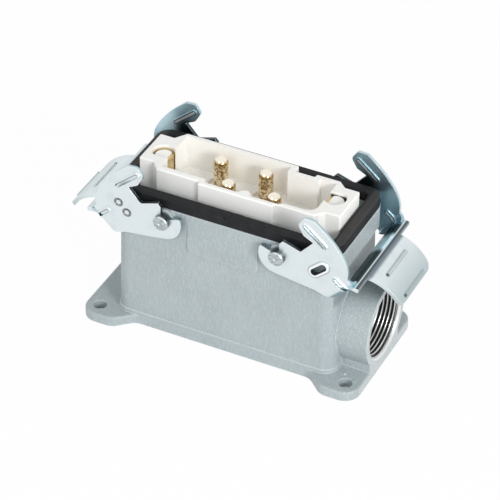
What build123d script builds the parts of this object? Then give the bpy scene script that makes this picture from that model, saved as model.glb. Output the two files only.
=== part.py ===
from build123d import *
import os
from math import atan2, cos, degrees, hypot, radians, sin

# Heavy duty rectangular connector: surface-mount housing with a side cable entry,
# a male power insert and two locking levers, shown open and ready for a hood.
# Millimetres. X runs along the length with the cable entry at +X, -Y is the front
# long side, Z is up. The origin is the centre of the base's underside.

# Insert plate, which sets the housing's mouth and so its length and width
insert_l = 84.5
insert_w = 34.0
insert_plate_t = 4.0

# Housing box
body_top = 59.2
mouth_clearance = 0.4
mouth_l = insert_l + 2 * mouth_clearance
mouth_w = insert_w + 2 * mouth_clearance
mouth_corner_r = 2.5
mouth_bottom = body_top - 15.5
rim_w_ends = 4.35
rim_w_sides = 3.85
body_l = mouth_l + 2 * rim_w_ends
body_w = mouth_w + 2 * rim_w_sides
body_corner_r = 5.5
wall_t = 3.0
end_wall_t = 4.0
floor_t = 3.0
band_h = 9.5
band_out_top = 1.6
band_out_foot = 0.7
ledge_out = 0.4
ledge_h = 1.5
rim_chamfer = 0.5
pad_l = 29.0
pad_h = 14.5
pad_bottom = body_top - 16.8
pad_out = 0.8
pad_r = 1.5

# Base flange
lug_reach_x = 11.5
lug_reach_y = 7.25
flange_l = body_l + 2 * lug_reach_x
flange_w = body_w + 2 * lug_reach_y
flange_t = 4.0
flange_corner_r = 6.5
flange_edge_r = 0.9
waist_w = body_w + 0.9
waist_end = flange_l / 2 - 13.9
waist_start = waist_end - 7.3
waist_blend_r = 6.0
hole_edge = 6.0
hole_pitch_x = flange_l - 2 * hole_edge
hole_pitch_y = flange_w - 2 * hole_edge
hole_d = 5.5
lug_pip_place = (50.2, -17.8)

# Cable entry
entry_r = 14.3
entry_wall = 3.2
entry_z = 19.3
entry_chamfer = 0.7
entry_foot_w = 26.0

# Rim bead and gasket
bead_w = 1.4
bead_h = 1.5
bead_inset = 1.6
bead_clearance = 0.15
gasket_h = 4.5
gasket_corner_r = 6.0
gasket_inner_clearance = 0.3
gasket_edge_r = 1.0
pip_r = 0.6
pip_places = ((-10.0, body_top + 2.1), (0.4, body_top + 3.5))

# Lever studs
pivot_x = body_l / 2 - 23.1
pivot_z = body_top - 4.0
stud_r = 3.05
stud_chamfer = 0.35
stud_centre_r = 0.8
stud_centre_depth = 0.4
spigot_r = 2.0
spigot_l = 4.4
stud_boss_r = 4.1
stud_boss_h = 1.4

# Locking levers, folded from sheet. Points are (outward, up) from the pivot of the
# right lever as it stands open.
sheet_t = 1.5
arm_gap = 1.75
arm_inner_y = body_w / 2 + arm_gap
arm_outer_y = arm_inner_y + sheet_t
stud_end_y = arm_outer_y + 2.0
running_clearance = 0.05
hook_outer_r = 7.8
hook_tip_angle = 156.0
hook_heel_angle = 258.0
hook_tip_w = 3.5
hook_tip_r = 0.8
mouth_x = 0.7
mouth_point = (2.0, 7.6)
mouth_step_z = 6.2
notch_bottom = (9.2, 5.3)
notch_r = 0.9
finger_root = (14.3, 11.1)
finger_nose = ((10.3, 13.2), (7.9, 17.3), (10.3, 20.9))
finger_r = 1.8
finger_top = (14.4, 20.6)
arm_back_edge = ((18.6, 17.0), (24.2, 10.9), (28.1, 3.4))
belly_points = ((5.0, -8.7), (15.3, -10.0))
web_lean = 45.0
web_distance = 25.1
web_low = 7.4
web_high = 19.0
web_edge_at = 13.0
web_low_corner_r = 3.0
web_high_corner_r = 1.2
web_bend_r = 4.0
lip_bend_at = 17.4
lip_bend_r = 1.75
lip_end = (32.5, -5.4)
lip_side_inset = 0.8
flap_end = (45.5, -15.4)
flap_root_w = 30.0
flap_end_w = 27.0
flap_corner_r = 3.5
flap_rib_places = (0.3, 0.88)
flap_rib_l = 17.0
flap_rib_r = 0.55
slot_centre = (16.9, -0.1)
slot_l = 7.2
slot_w = 2.7
slot_angle = 41.0
slot_rim = 0.8
emboss_h = 0.4
dimple_places = ((18.5, 2.9), (15.0, -0.8))
dimple_r = 1.9
dimple_core_r = 1.15
dimple_depth = 0.5
dart_ends = (((10.8, 17.2), (18.6, 10.6)), ((23.3, -2.8), (27.6, -6.6)))
dart_w = 1.4
dart_rim = 0.8
dart_depth = 0.5
tab_w = 2.4
tab_t = 1.2
tab_reach = 1.0
tab_r = 5.6

# Screws of the insert
fixing_r = 1.95
fixing_hole_r = 2.2
fixing_head_r = 3.4
fixing_head_h = 2.4
fixing_depth = 9.0
fixing_edge = 3.5
screw_pitch_x = insert_l - 2 * fixing_edge
screw_pitch_y = insert_w - 2 * fixing_edge
column_reach = 4.3

# Insert
insert_seat_z = body_top - 10.5
insert_plate_top = insert_seat_z + insert_plate_t
insert_top = insert_seat_z + 20.5
insert_floor = insert_seat_z + 7.0
insert_bottom = insert_seat_z - 18.0
column_bottom = insert_seat_z - 12.5
rear_l = screw_pitch_x - 2 * column_reach - 0.9
rear_r = 2.0
shroud_half_l = insert_l / 2 - 0.45
shroud_half_w = insert_w / 2 - 3.0
rear_w = 2 * shroud_half_w - 1.0
end_half_w = screw_pitch_y / 2 - fixing_head_r - 1.3
flank_inset = 1.5
back_inset_right = 1.9
end_block_x = shroud_half_l - 6.0
flank_end_x = end_block_x - 3.2
main_front_x = (-14.6, 16.8)
shroud_wall = 1.9
key_notch_x = (14.6, 22.8)
key_notch_depth = 3.6
shroud_corner_r = 0.6
shroud_edge_r = 0.5
cavity_half_l = shroud_half_l - 9.8
cavity_round_r = 4.0
earth_blade_x = rear_l / 2 - 1.8
pocket_centre = (-earth_blade_x - 3.0, -1.2)
pocket_r = 4.4
pocket_flat = 3.4
pocket_floor = insert_floor + 2.0
post_r = 3.5
post_drop = 1.6
key_rib_x = 4.0
key_rib_r = 2.4
pin_pitch = 19.0
pin_stagger = 9.1
pin_row_y = shroud_half_w - 7.9
pin_first_x = -14.6
pin_r = 2.8
pin_top = insert_floor + 12.8
pin_shank_r = 3.1
pin_dome_r = 2.4
sleeve_r = 4.3
sleeve_top = insert_seat_z + 2.0
sleeve_bottom = insert_bottom + 1.0
wire_bore_r = 2.9
wire_bore_depth = 12.0
well_r = 5.2
well_depth = 1.5
well_bottom = insert_floor - well_depth
fit_clearance = 0.1

# Terminal screws and earth parts
terminal_screw_r = 2.0
terminal_screw_l = 5.0
terminal_screw_z = insert_bottom + 6.0
slot_cut_w = 0.8
slot_cut_depth = 0.9
earth_y = 1.5
earth_blade_w = 5.4
earth_blade_t = 1.0
earth_blade_top = insert_top - 2.0
earth_foot_end = earth_blade_x + 9.4
earth_screw_x = earth_blade_x + 6.4
earth_screw_r = 1.95
earth_head_r = 3.0
earth_head_h = 2.4
earth_screw_grip = 3.2

entry_face_x = flange_l / 2
band_bottom = body_top - band_h
front_and_back = (("front", -1), ("back", 1))
left_and_right = (("left", -1), ("right", 1))

os.makedirs("parts", exist_ok=True)


def save(piece, name):
    """Label a finished piece and write it as one STEP file."""
    piece.label = name
    export_step(piece, f"parts/{name}.step")


def side_plane(y, facing):
    """A sketch plane across Y at y: its x is outward X, its y is Z, its normal faces facing."""
    return Plane(origin=(0, y, 0), x_dir=(-facing, 0, 0), z_dir=(0, facing, 0))


def on_side(point, facing):
    """An (outward, up) point in the axes of a side plane with this facing."""
    return (-facing * point[0], point[1])


# Cast housing
with BuildPart() as housing:
    with BuildSketch() as flange_plan:
        RectangleRounded(flange_l, flange_w, flange_corner_r)
        for side in (1, -1):
            with BuildLine():
                Polyline(
                    (-waist_end, side * flange_w / 2),
                    (-waist_start, side * waist_w / 2),
                    (waist_start, side * waist_w / 2),
                    (waist_end, side * flange_w / 2),
                    close=True,
                )
            make_face(mode=Mode.SUBTRACT)
        waist_bends = flange_plan.vertices().filter_by(lambda v: abs(v.X) < waist_end + 0.1)
        fillet(waist_bends, waist_blend_r)
    extrude(amount=flange_t)
    fillet(housing.edges().group_by(Axis.Z)[-1], flange_edge_r)
    with Locations((lug_pip_place[0], lug_pip_place[1], flange_t)):
        Sphere(pip_r)

    # The end walls lean inward up to a band below the rim
    foot_l = body_l - 2 * band_out_foot
    with BuildSketch():
        RectangleRounded(foot_l + 2 * ledge_out, body_w + 2 * ledge_out, body_corner_r + ledge_out)
    extrude(amount=flange_t + ledge_h)
    with BuildSketch():
        RectangleRounded(foot_l, body_w, body_corner_r)
    with BuildSketch(Plane.XY.offset(band_bottom)):
        RectangleRounded(body_l - 2 * band_out_top, body_w, body_corner_r)
    loft()
    with BuildSketch(Plane.XY.offset(band_bottom)):
        RectangleRounded(body_l, body_w, body_corner_r)
    extrude(amount=band_h)
    chamfer(housing.edges().group_by(Axis.Z)[-1], rim_chamfer)

    boss_start = body_l / 2 - end_wall_t
    with BuildSketch(Plane.YZ.offset(boss_start)):
        with Locations((0, entry_z)):
            Circle(entry_r + entry_wall)
        Rectangle(entry_foot_w, entry_z, align=(Align.CENTER, Align.MIN))
    extrude(amount=entry_face_x - boss_start)

    for name, facing in front_and_back:
        with BuildPart(mode=Mode.PRIVATE) as pad:
            with BuildSketch(side_plane(facing * body_w / 2, facing)):
                with Locations((0, pad_bottom + pad_h / 2)):
                    RectangleRounded(pad_l, pad_h, pad_r)
            extrude(amount=pad_out)
            with BuildSketch(Plane.YZ):
                with BuildLine():
                    Polyline(
                        (facing * (body_w / 2 + pad_out), pad_bottom - 1),
                        (facing * (body_w / 2 + pad_out), pad_bottom + pad_h / 3),
                        (facing * body_w / 2, pad_bottom + pad_h),
                        (facing * body_w / 2, pad_bottom - 1),
                        close=True,
                    )
                make_face()
            extrude(amount=pad_l, both=True, mode=Mode.INTERSECT)
        add(pad.part)
        with BuildSketch(side_plane(facing * body_w / 2, facing)):
            with Locations((-pivot_x, pivot_z), (pivot_x, pivot_z)):
                Circle(stud_boss_r)
        extrude(amount=stud_boss_h)

    with BuildSketch(Plane.XY.offset(floor_t)):
        RectangleRounded(body_l - 2 * end_wall_t, body_w - 2 * wall_t, body_corner_r - wall_t)
    extrude(amount=mouth_bottom - floor_t, mode=Mode.SUBTRACT)
    with BuildSketch(Plane.XY.offset(mouth_bottom)):
        RectangleRounded(mouth_l, mouth_w, mouth_corner_r)
    extrude(amount=body_top - mouth_bottom, mode=Mode.SUBTRACT)

    # The four columns carry the insert and hold its screws
    column_out_x = body_l / 2 - end_wall_t + 0.5
    column_out_y = body_w / 2 - wall_t + 0.5
    column_in_x = screw_pitch_x / 2 - column_reach
    column_in_y = screw_pitch_y / 2 - column_reach
    with BuildSketch(Plane.XY.offset(column_bottom)):
        for sx in (1, -1):
            for sy in (1, -1):
                with Locations((sx * (column_in_x + column_out_x) / 2, sy * (column_in_y + column_out_y) / 2)):
                    Rectangle(column_out_x - column_in_x, column_out_y - column_in_y)
    extrude(amount=insert_seat_z - column_bottom)
    with Locations(Location((0, 0, insert_seat_z))):
        with GridLocations(screw_pitch_x, screw_pitch_y, 2, 2):
            Hole(fixing_r, depth=fixing_depth + 1)

    with BuildSketch(Plane.XY.offset(body_top)):
        RectangleRounded(body_l - 2 * bead_inset, body_w - 2 * bead_inset, body_corner_r - bead_inset)
        RectangleRounded(
            body_l - 2 * (bead_inset + bead_w),
            body_w - 2 * (bead_inset + bead_w),
            body_corner_r - bead_inset - bead_w,
            mode=Mode.SUBTRACT,
        )
    extrude(amount=bead_h)

    with BuildSketch(Plane.YZ.offset(boss_start)):
        with Locations((0, entry_z)):
            Circle(entry_r)
    extrude(amount=entry_face_x - boss_start, mode=Mode.SUBTRACT)
    entry_mouth = housing.edges().filter_by(GeomType.CIRCLE).group_by(Axis.X)[-1].sort_by(SortBy.RADIUS)[0]
    chamfer(entry_mouth, entry_chamfer)

    with GridLocations(hole_pitch_x, hole_pitch_y, 2, 2):
        Cylinder(hole_d / 2, 3 * flange_t, mode=Mode.SUBTRACT)
    for name, facing in front_and_back:
        with BuildSketch(side_plane(facing * (body_w / 2 + stud_boss_h), facing)):
            with Locations((-pivot_x, pivot_z), (pivot_x, pivot_z)):
                Circle(spigot_r)
        extrude(amount=-spigot_l - 0.2, mode=Mode.SUBTRACT)
save(housing.part, "housing")

# Rim gasket with the groove that takes the bead, and two moulding pips on its front
with BuildPart() as rim_gasket:
    with BuildSketch(Plane.XY.offset(body_top)):
        RectangleRounded(body_l, body_w, gasket_corner_r)
        RectangleRounded(
            mouth_l - 2 * gasket_inner_clearance,
            mouth_w - 2 * gasket_inner_clearance,
            mouth_corner_r,
            mode=Mode.SUBTRACT,
        )
    extrude(amount=gasket_h)
    fillet(rim_gasket.edges().group_by(Axis.Z)[-1], gasket_edge_r)
    with BuildSketch(Plane.XY.offset(body_top)):
        groove_out = bead_inset - bead_clearance
        groove_in = bead_inset + bead_w + bead_clearance
        RectangleRounded(body_l - 2 * groove_out, body_w - 2 * groove_out, body_corner_r - groove_out)
        RectangleRounded(
            body_l - 2 * groove_in, body_w - 2 * groove_in, body_corner_r - groove_in, mode=Mode.SUBTRACT
        )
    extrude(amount=bead_h + bead_clearance, mode=Mode.SUBTRACT)
    with Locations([(x, -body_w / 2, z) for x, z in pip_places]):
        Sphere(pip_r)
save(rim_gasket.part, "rim_gasket")

# Turned studs, each pressed into a boss on the long walls
for depth_name, facing in front_and_back:
    for side_name, side in left_and_right:
        with BuildPart() as stud:
            with BuildSketch(side_plane(facing * (body_w / 2 + stud_boss_h), facing)):
                with Locations((-facing * side * pivot_x, pivot_z)):
                    Circle(stud_r)
            extrude(amount=stud_end_y - body_w / 2 - stud_boss_h)
            chamfer(stud.edges().sort_by(Axis.Y)[-1 if facing > 0 else 0], stud_chamfer)
            with BuildSketch(side_plane(facing * (body_w / 2 + stud_boss_h), facing)):
                with Locations((-facing * side * pivot_x, pivot_z)):
                    Circle(spigot_r)
            extrude(amount=-spigot_l)
            with BuildSketch(side_plane(facing * stud_end_y, facing)):
                with Locations((-facing * side * pivot_x, pivot_z)):
                    Circle(stud_centre_r)
            extrude(amount=-stud_centre_depth, taper=30, mode=Mode.SUBTRACT)
        save(stud.part, f"lever_stud_{depth_name}_{side_name}")

# Locking levers. One is drawn for the right side about its own pivot; the left one
# is the same piece turned round.
lean = (cos(radians(web_lean)), sin(radians(web_lean)))
away = (lean[1], -lean[0])
seat_r = stud_r + running_clearance
inside = Plane(origin=(0, 0, 0), x_dir=(1, 0, 0), z_dir=(0, -1, 0))
across_web = Plane(origin=(0, 0, 0), x_dir=(away[0], 0, away[1]), z_dir=(lean[0], 0, lean[1]))


def on_web(along, out):
    """A point given along the web's lean and away from the pivot, as (outward, up)."""
    return (lean[0] * along + away[0] * out, lean[1] * along + away[1] * out)


def polar(radius, angle):
    """A point about the pivot, as (outward, up)."""
    return (radius * cos(radians(angle)), radius * sin(radians(angle)))


def fold(out, into):
    """The folded sheet's U between out beyond its outer face and into behind it."""
    with BuildPart() as channel:
        with BuildSketch(across_web):
            with Locations((web_distance + out, 0)):
                RectangleRounded(
                    120, 2 * (arm_outer_y + out), web_bend_r + out, align=(Align.MAX, Align.CENTER)
                )
            with Locations((web_distance - into, 0)):
                RectangleRounded(
                    140,
                    2 * (arm_outer_y - into),
                    web_bend_r - into,
                    align=(Align.MAX, Align.CENTER),
                    mode=Mode.SUBTRACT,
                )
        extrude(amount=60, both=True)
    return channel.part


web_middle = web_distance - sheet_t / 2
with BuildLine() as lip_path:
    lip_run = FilletPolyline(
        on_web(lip_bend_at - 3, web_middle), on_web(lip_bend_at, web_middle), lip_end, radius=lip_bend_r
    )
with BuildLine() as flap_path:
    flap_run = TangentArc(lip_end, flap_end, tangent=lip_run % 1)
flap_chord = Vector(flap_end[0] - lip_end[0], flap_end[1] - lip_end[1])
flap_plan = Plane(
    origin=(lip_end[0], 0, lip_end[1]),
    x_dir=(flap_chord.X, 0, flap_chord.Y),
    z_dir=(-flap_chord.Y, 0, flap_chord.X),
)

with BuildPart() as flap:
    with BuildSketch(inside):
        trace(flap_path.edges(), sheet_t)
    extrude(amount=flap_root_w, both=True)
    with BuildSketch(flap_plan) as flap_outline:
        with BuildLine():
            Polyline(
                (-3, -flap_root_w / 2),
                (flap_chord.length, -flap_end_w / 2),
                (flap_chord.length, flap_end_w / 2),
                (-3, flap_root_w / 2),
                close=True,
            )
        make_face()
        fillet(flap_outline.vertices().group_by(Axis.X)[-1], flap_corner_r)
    extrude(amount=20, both=True, mode=Mode.INTERSECT)
    for place in flap_rib_places:
        along = flap_run % place
        rib_at = flap_run @ place + Vector(-along.Y, along.X) * sheet_t / 2
        with BuildSketch(inside):
            with Locations((rib_at.X, rib_at.Y)):
                Circle(flap_rib_r)
        extrude(amount=flap_rib_l / 2, both=True)

# The lip runs out to the arms' bends, past the bent part of the web's edge
lip_root = Vector(*on_web(lip_bend_at, web_middle))
lip_far = Vector(*lip_end)
lip_back = lip_root - (lip_far - lip_root).normalized() * web_bend_r
with BuildPart() as lip_sides:
    with BuildSketch(inside):
        with BuildLine() as lip_flat:
            Line((lip_back.X, lip_back.Y), lip_end)
        trace(lip_flat.edges(), sheet_t)
    extrude(amount=arm_outer_y - lip_side_inset, both=True)
    Box(200, 2 * (arm_outer_y - web_bend_r), 200, mode=Mode.SUBTRACT)
    with BuildSketch(across_web):
        with Locations((web_distance - sheet_t, 0)):
            RectangleRounded(
                140, 2 * arm_inner_y, web_bend_r - sheet_t, align=(Align.MAX, Align.CENTER)
            )
    extrude(amount=60, both=True, mode=Mode.SUBTRACT)


def darts(width, facing):
    """Add an arm's darts to the open sketch as slots of one width."""
    for start, end in dart_ends:
        run = (end[0] - start[0], end[1] - start[1])
        middle = ((start[0] + end[0]) / 2, (start[1] + end[1]) / 2)
        angle = -facing * degrees(atan2(run[1], run[0]))
        with Locations(on_side(middle, facing)):
            SlotCenterToCenter(hypot(run[0], run[1]), width, rotation=angle)


# Darts and dimples are pressed in: sunk on the outside, proud on the inside
with BuildPart() as rims:
    for facing in (-1, 1):
        with BuildSketch(side_plane(facing * (arm_outer_y - web_bend_r), facing)):
            darts(dart_w + 2 * dart_rim, facing)
        extrude(amount=web_bend_r + emboss_h)
    with BuildSketch(inside):
        with Locations(slot_centre):
            SlotOverall(slot_l + 2 * slot_rim, slot_w + 2 * slot_rim, rotation=slot_angle)
    extrude(amount=arm_outer_y + emboss_h)
    add(fold(emboss_h, sheet_t / 2), mode=Mode.INTERSECT)

with BuildPart() as ribs:
    for facing in (-1, 1):
        with BuildSketch(side_plane(facing * (arm_outer_y - web_bend_r), facing)):
            darts(dart_w + dart_rim, facing)
        extrude(amount=web_bend_r)
    with BuildSketch(inside):
        with Locations(dimple_places):
            Circle(dimple_r)
            Circle(dimple_core_r, mode=Mode.SUBTRACT)
    extrude(amount=-arm_outer_y)
    add(fold(-sheet_t / 2, sheet_t + emboss_h), mode=Mode.INTERSECT)

with BuildPart() as grooves:
    for facing in (-1, 1):
        with BuildSketch(side_plane(facing * (arm_outer_y - web_bend_r), facing)):
            darts(dart_w, facing)
        extrude(amount=web_bend_r + 1)
    with BuildSketch(inside):
        with Locations(dimple_places):
            Circle(dimple_r)
            Circle(dimple_core_r, mode=Mode.SUBTRACT)
    extrude(amount=-arm_outer_y - 1)
    add(fold(1, dart_depth), mode=Mode.INTERSECT)

with BuildPart() as lever:
    with BuildSketch(inside) as arm_outline:
        with BuildLine():
            hook_tip = polar(hook_outer_r, hook_tip_angle)
            hook_heel = polar(hook_outer_r, hook_heel_angle)
            ThreePointArc(hook_tip, polar(hook_outer_r, 205.0), hook_heel)
            Polyline(
                hook_heel,
                *belly_points,
                on_web(web_low, web_distance),
                on_web(web_high, web_distance),
                on_web(web_high, web_distance - web_bend_r),
            )
            Spline(on_web(web_high, web_distance - web_bend_r), *reversed(arm_back_edge), finger_top)
            Polyline(
                finger_top,
                *reversed(finger_nose),
                finger_root,
                notch_bottom,
                mouth_point,
                (mouth_x, mouth_step_z),
                (mouth_x, 0),
                polar(hook_outer_r - hook_tip_w, hook_tip_angle - 2),
                hook_tip,
            )
        make_face()
        rounds = [
            (web_low_corner_r, on_web(web_low, web_distance)),
            (web_high_corner_r, on_web(web_high, web_distance)),
            (notch_r, notch_bottom),
            (hook_tip_r, hook_tip),
            *((finger_r, corner) for corner in finger_nose),
        ]
        for radius, corner in rounds:
            fillet(arm_outline.vertices().sort_by_distance(corner)[0], radius)
        Circle(seat_r, mode=Mode.SUBTRACT)
    extrude(amount=arm_outer_y, both=True)
    add(fold(0, sheet_t), mode=Mode.INTERSECT)

    # The web stops clear of the housing's end below, and its top edge turns outward
    # into a lip that carries the flap
    for low, high in ((-5, web_edge_at), (lip_bend_at - 2, lip_bend_at + 6)):
        with BuildSketch(inside):
            with BuildLine():
                Polyline(
                    on_web(low, web_distance - sheet_t - 1),
                    on_web(low, web_distance + 1),
                    on_web(high, web_distance + 1),
                    on_web(high, web_distance - sheet_t - 1),
                    close=True,
                )
            make_face()
        extrude(amount=arm_outer_y - web_bend_r, both=True, mode=Mode.SUBTRACT)
    with BuildSketch(inside):
        trace(lip_path.edges(), sheet_t)
    extrude(amount=arm_outer_y - web_bend_r, both=True)
    for piece in (lip_sides, flap, rims, ribs):
        add(piece.part)
    add(grooves.part, mode=Mode.SUBTRACT)
    with BuildSketch(inside):
        with Locations(slot_centre):
            SlotOverall(slot_l, slot_w, rotation=slot_angle)
    extrude(amount=arm_outer_y + 2, mode=Mode.SUBTRACT)
    for facing in (-1, 1):
        with BuildSketch(side_plane(facing * arm_inner_y, facing)):
            tab_angle = hook_tip_angle + degrees(tab_t / 2 / tab_r)
            with Locations(on_side(polar(tab_r, tab_angle), facing)):
                Rectangle(tab_w, tab_t, rotation=-facing * tab_angle)
        extrude(amount=-tab_reach)

for side_name, side in left_and_right:
    with BuildPart() as locking_lever:
        with Locations(Location((side * pivot_x, 0, pivot_z), (0, 0, 90 * (1 - side)))):
            add(lever.part)
    save(locking_lever.part, f"locking_lever_{side_name}")

# Insert. Its right half's pocket and earth parts are the left ones turned round.
pin_places = {}
for depth_name, facing in front_and_back:
    first = pin_first_x if facing > 0 else pin_first_x + pin_stagger
    pin_places[f"{depth_name}_left"] = (first, facing * pin_row_y)
    pin_places[f"{depth_name}_right"] = (first + pin_pitch, facing * pin_row_y)

with BuildPart() as insert_body:
    with BuildSketch(Plane.XY.offset(insert_plate_top)) as shroud:
        with BuildLine():
            front_y = -shroud_half_w
            flank_y = front_y + flank_inset
            back_y = shroud_half_w - 0.4
            right_back_y = back_y - back_inset_right
            notch_y = back_y - key_notch_depth
            Polyline(
                (-shroud_half_l, -end_half_w),
                (-end_block_x, -end_half_w),
                (-flank_end_x, flank_y),
                (main_front_x[0], flank_y),
                (main_front_x[0], front_y),
                (main_front_x[1], front_y),
                (main_front_x[1], flank_y),
                (flank_end_x, flank_y),
                (end_block_x, -end_half_w),
                (shroud_half_l, -end_half_w),
                (shroud_half_l, end_half_w),
                (end_block_x, end_half_w),
                (flank_end_x, right_back_y),
                (key_notch_x[1], right_back_y),
                (key_notch_x[1], notch_y),
                (key_notch_x[0], notch_y),
                (key_notch_x[0], back_y),
                (-flank_end_x, back_y),
                (-end_block_x, end_half_w),
                (-shroud_half_l, end_half_w),
                close=True,
            )
        make_face()
        fillet(shroud.vertices(), shroud_corner_r)
    extrude(amount=insert_top - insert_plate_top)
    fillet(insert_body.edges().group_by(Axis.Z)[-1], shroud_edge_r)
    with BuildSketch(Plane.XY.offset(insert_seat_z)):
        RectangleRounded(insert_l, insert_w, mouth_corner_r - mouth_clearance)
    extrude(amount=insert_plate_t)
    with BuildSketch(Plane.XY.offset(insert_bottom)):
        RectangleRounded(rear_l, rear_w, rear_r)
    extrude(amount=insert_seat_z - insert_bottom)

    with BuildSketch(Plane.XY.offset(insert_floor)) as cavity:
        with BuildLine():
            inner_front_y = front_y + shroud_wall
            inner_back_y = back_y - shroud_wall
            inner_key_y = notch_y - shroud_wall - 0.2
            Polyline(
                (-cavity_half_l, inner_front_y + 2.1),
                (main_front_x[0] + 1.6, inner_front_y + 2.1),
                (main_front_x[0] + 2.2, inner_front_y),
                (main_front_x[1] + 1.2, inner_front_y),
                (main_front_x[1] + 2.6, inner_front_y + 1.5),
                (cavity_half_l, inner_front_y + 1.5),
                (cavity_half_l, inner_back_y - back_inset_right),
                (key_notch_x[1] + 2.6, inner_back_y - back_inset_right),
                (key_notch_x[1] + 2.2, inner_key_y),
                (key_notch_x[0] - 2.2, inner_key_y),
                (key_notch_x[0] - 2.6, inner_back_y),
                (-cavity_half_l, inner_back_y),
                close=True,
            )
        make_face()
        front_right = cavity.vertices().sort_by_distance((cavity_half_l, inner_front_y))[0]
        fillet(front_right, cavity_round_r)
        with Locations((key_rib_x, inner_front_y)):
            Circle(key_rib_r, mode=Mode.SUBTRACT)
    extrude(amount=insert_top - insert_floor, mode=Mode.SUBTRACT)
    with BuildSketch(Plane.XY.offset(insert_floor)):
        with Locations(list(pin_places.values())):
            Circle(well_r)
    extrude(amount=-well_depth, mode=Mode.SUBTRACT)

    for turn in (0, 180):
        turned = Plane(Location((0, 0, 0), (0, 0, turn)))
        blade_y = -earth_y
        with BuildSketch(turned.offset(pocket_floor)):
            with Locations(pocket_centre):
                Circle(pocket_r)
                with Locations((0, -pocket_flat)):
                    Rectangle(3 * pocket_r, pocket_r, align=(Align.CENTER, Align.MAX), mode=Mode.SUBTRACT)
        extrude(amount=insert_top - pocket_floor, mode=Mode.SUBTRACT)
        with BuildSketch(turned.offset(pocket_floor)):
            with Locations(pocket_centre):
                Circle(post_r)
                with Locations((0, -pocket_flat)):
                    Rectangle(3 * post_r, post_r, align=(Align.CENTER, Align.MAX), mode=Mode.SUBTRACT)
            with Locations((-earth_blade_x - earth_blade_t - fit_clearance, 0)):
                Rectangle(3 * post_r, 4 * post_r, align=(Align.MIN, Align.CENTER), mode=Mode.SUBTRACT)
        extrude(amount=insert_top - post_drop - pocket_floor)
        slot_x = -earth_blade_x + fit_clearance
        slot_y = earth_blade_w + 2 * fit_clearance
        with BuildSketch(turned.offset(insert_seat_z - earth_blade_t - 2 * fit_clearance)):
            with Locations((slot_x, blade_y)):
                Rectangle(earth_blade_t + 2 * fit_clearance, slot_y, align=(Align.MAX, Align.CENTER))
        extrude(amount=insert_top, mode=Mode.SUBTRACT)
        with BuildSketch(turned.offset(insert_seat_z)):
            with Locations((slot_x, blade_y)):
                Rectangle(rear_l / 2, slot_y, align=(Align.MAX, Align.CENTER))
        extrude(amount=-earth_blade_t - 2 * fit_clearance, mode=Mode.SUBTRACT)
        with BuildSketch(turned.offset(insert_seat_z)):
            with Locations((-earth_screw_x, blade_y)):
                Circle(earth_screw_r)
        extrude(amount=earth_screw_grip + 0.3, mode=Mode.SUBTRACT)

    for place_name, (pin_x, pin_y) in pin_places.items():
        facing = 1 if pin_y > 0 else -1
        with BuildSketch(Plane.XY.offset(sleeve_top)):
            with Locations((pin_x, pin_y)):
                Circle(pin_shank_r + fit_clearance)
        extrude(amount=insert_floor - sleeve_top, mode=Mode.SUBTRACT)
        with BuildSketch(Plane.XY.offset(insert_bottom)):
            with Locations((pin_x, pin_y)):
                Circle(sleeve_r + fit_clearance)
        extrude(amount=sleeve_top - insert_bottom, mode=Mode.SUBTRACT)
        with BuildSketch(side_plane(pin_y, facing)):
            with Locations((-facing * pin_x, terminal_screw_z)):
                Circle(terminal_screw_r + 2 * fit_clearance)
        extrude(amount=rear_w, mode=Mode.SUBTRACT)
    with Locations(Location((0, 0, insert_plate_top))):
        with GridLocations(screw_pitch_x, screw_pitch_y, 2, 2):
            Hole(fixing_hole_r, depth=insert_plate_t)
save(insert_body.part, "insert_body")

# Power pins, each with its wire sleeve, and the screw that clamps the wire
for place_name, (pin_x, pin_y) in pin_places.items():
    facing = 1 if pin_y > 0 else -1
    with BuildPart() as power_pin:
        with BuildSketch(Plane.XY.offset(sleeve_bottom)):
            with Locations((pin_x, pin_y)):
                Circle(sleeve_r)
        extrude(amount=sleeve_top - sleeve_bottom)
        with BuildSketch(Plane.XY.offset(sleeve_top)):
            with Locations((pin_x, pin_y)):
                Circle(pin_shank_r)
        extrude(amount=well_bottom - sleeve_top)
        with BuildSketch(Plane.XY.offset(well_bottom)):
            with Locations((pin_x, pin_y)):
                Circle(pin_r)
        extrude(amount=pin_top - well_bottom)
        fillet(power_pin.edges().group_by(Axis.Z)[-1], pin_dome_r)
        with BuildSketch(Plane.XY.offset(sleeve_bottom)):
            with Locations((pin_x, pin_y)):
                Circle(wire_bore_r)
        extrude(amount=wire_bore_depth, mode=Mode.SUBTRACT)
        with BuildSketch(side_plane(pin_y, facing)):
            with Locations((-facing * pin_x, terminal_screw_z)):
                Circle(terminal_screw_r)
        extrude(amount=2 * sleeve_r, mode=Mode.SUBTRACT)
    save(power_pin.part, f"power_pin_{place_name}")

    screw_end_y = rear_w / 2 - 0.4
    with BuildPart() as terminal_screw:
        with BuildSketch(side_plane(facing * screw_end_y, facing)):
            with Locations((-facing * pin_x, terminal_screw_z)):
                Circle(terminal_screw_r)
        extrude(amount=-terminal_screw_l)
        with BuildSketch(side_plane(facing * screw_end_y, facing)):
            with Locations((-facing * pin_x, terminal_screw_z)):
                Rectangle(3 * terminal_screw_r, slot_cut_w)
        extrude(amount=-slot_cut_depth, mode=Mode.SUBTRACT)
    save(terminal_screw.part, f"terminal_screw_{place_name}")

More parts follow.
